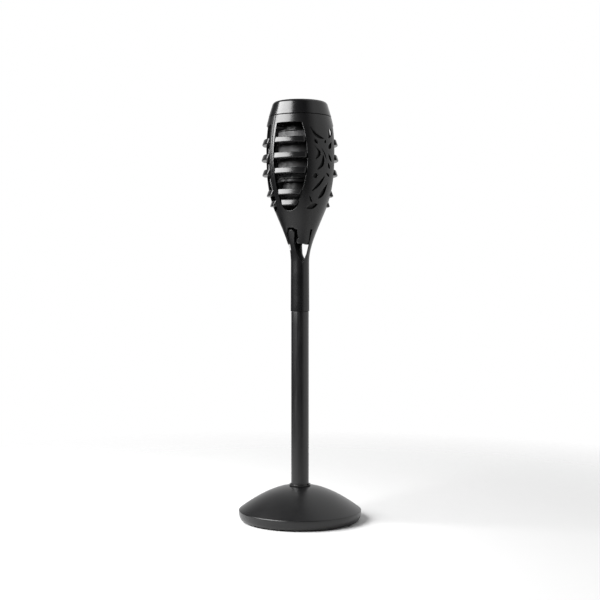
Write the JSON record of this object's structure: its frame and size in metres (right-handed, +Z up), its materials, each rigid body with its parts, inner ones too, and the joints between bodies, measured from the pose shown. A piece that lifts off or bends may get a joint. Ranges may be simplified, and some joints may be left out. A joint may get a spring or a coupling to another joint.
{
  "type": "solar tiki torch",
  "caption": "Black solar tiki torch on a weighted dome base, with a tube pole and a tulip-shaped open cage around a lift-out lamp.",
  "frame": {"origin": "centre of the footprint, on the surface that the feet stand on", "axes": "+Z up along the pole, -Y to the front, where one cage window faces a little to the left"},
  "size_m": [0.1762, 0.1762, 0.6],
  "materials": {
    "cage_plastic": "fine spark-textured moulding, satin matte",
    "cap_plastic": "satin moulding, a little smoother than the cage",
    "base_plastic": "semi-gloss moulding",
    "inner_plastic": "matte moulding",
    "lamp_plastic": "satin moulding",
    "smoked_plastic": "smoked translucent sheet with a fine dot pattern",
    "white_plastic": "white reflector moulding",
    "pole_paint": "satin black paint on a steel tube",
    "screw_steel": "plated steel",
    "ballast_iron": "as cast",
    "soft_rubber": "matte",
    "clear_cover": "clear",
    "solar_film": "dark blue cell with thin silver lines",
    "circuit_board": "solder mask",
    "battery_wrap": "shrink sleeve",
    "lead_insulation": "thin wire insulation"
  },
  "bodies": {
    "base": {"base_cover": "base_plastic", "base_plate": "inner_plastic", "ballast_weight": "ballast_iron", "pole_socket": "inner_plastic", "socket_collar": "base_plastic", "base_screw_1": "screw_steel", "base_screw_2": "screw_steel", "base_screw_3": "screw_steel", "rubber_foot_1": "soft_rubber", "rubber_foot_2": "soft_rubber", "rubber_foot_3": "soft_rubber", "rubber_foot_4": "soft_rubber"},
    "pole": {"pole_tube": "pole_paint", "pole_plug": "inner_plastic", "pole_spigot": "inner_plastic"},
    "head": {"torch_cage": "cage_plastic", "louvre_1": "cage_plastic", "louvre_2": "cage_plastic", "louvre_3": "cage_plastic", "louvre_4": "cage_plastic", "vine_liner_1": "smoked_plastic", "vine_liner_2": "smoked_plastic"},
    "lamp": {"top_cap": "cap_plastic", "panel_cover": "clear_cover", "solar_panel": "solar_film", "cap_tray": "inner_plastic", "cap_seal": "soft_rubber", "cap_screw_1": "screw_steel", "cap_screw_2": "screw_steel", "cap_screw_3": "screw_steel", "diffuser": "smoked_plastic", "diffuser_crown": "lamp_plastic", "lamp_flange": "lamp_plastic", "lamp_cup": "lamp_plastic", "led_carrier": "white_plastic", "led_board": "circuit_board", "battery_cell": "battery_wrap", "cell_seat": "white_plastic", "cell_contact": "screw_steel", "cell_spring": "screw_steel", "circuit_board": "circuit_board", "tact_switch": "inner_plastic", "panel_lead_1": "lead_insulation", "panel_lead_2": "lead_insulation"},
    "button": {"power_button": "cap_plastic"}
  },
  "joints": [
    {"name": "pole_pull", "type": "slide", "parent": "base", "child": "pole", "axis": [0, 0, 1], "range_m": [0, 0.045]},
    {"name": "head_pull", "type": "slide", "parent": "pole", "child": "head", "axis": [0, 0, 1], "range_m": [0, 0.055]},
    {"name": "lamp_lift", "type": "slide", "parent": "head", "child": "lamp", "axis": [0, 0, 1], "range_m": [0, 0.14]},
    {"name": "button_press", "type": "slide", "parent": "lamp", "child": "button", "axis": [0, 0, 1], "range_m": [0, 0.0015], "stiffness_N_per_m": 800}
  ]
}
